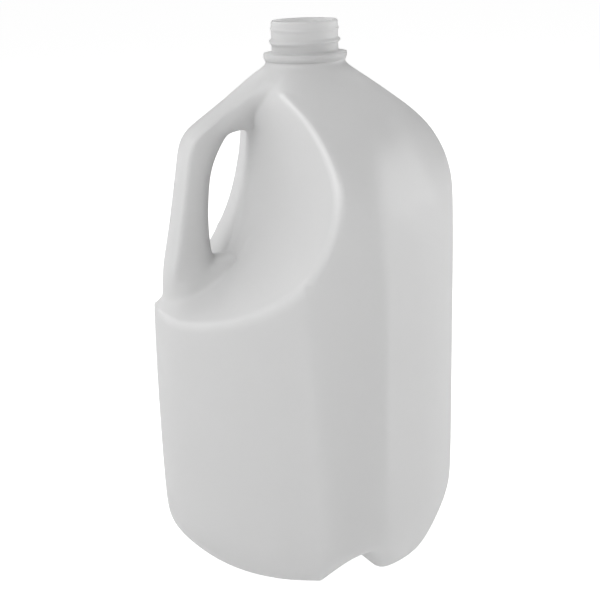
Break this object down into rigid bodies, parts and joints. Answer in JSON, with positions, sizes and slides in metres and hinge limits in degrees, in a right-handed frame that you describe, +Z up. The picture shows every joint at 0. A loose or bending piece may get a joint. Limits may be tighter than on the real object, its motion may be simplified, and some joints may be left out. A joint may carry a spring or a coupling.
{
  "type": "plastic milk bottle",
  "caption": "Empty gallon milk bottle of translucent blown plastic, with a corner grip handle, a sloping shoulder and an open threaded neck.",
  "frame": {"origin": "middle of the bottle's box, on the floor it stands on; the neck's axis is 3.52 mm from it towards +X", "axes": "+Z up along the neck's axis, -X towards the handle; the mould's parting plane is the XZ plane"},
  "size_m": [0.1676, 0.168, 0.286],
  "materials": {
    "natural_hdpe": "milky translucent, satin"
  },
  "bodies": {
    "root": {"bottle": "natural_hdpe"}
  },
  "joints": []
}
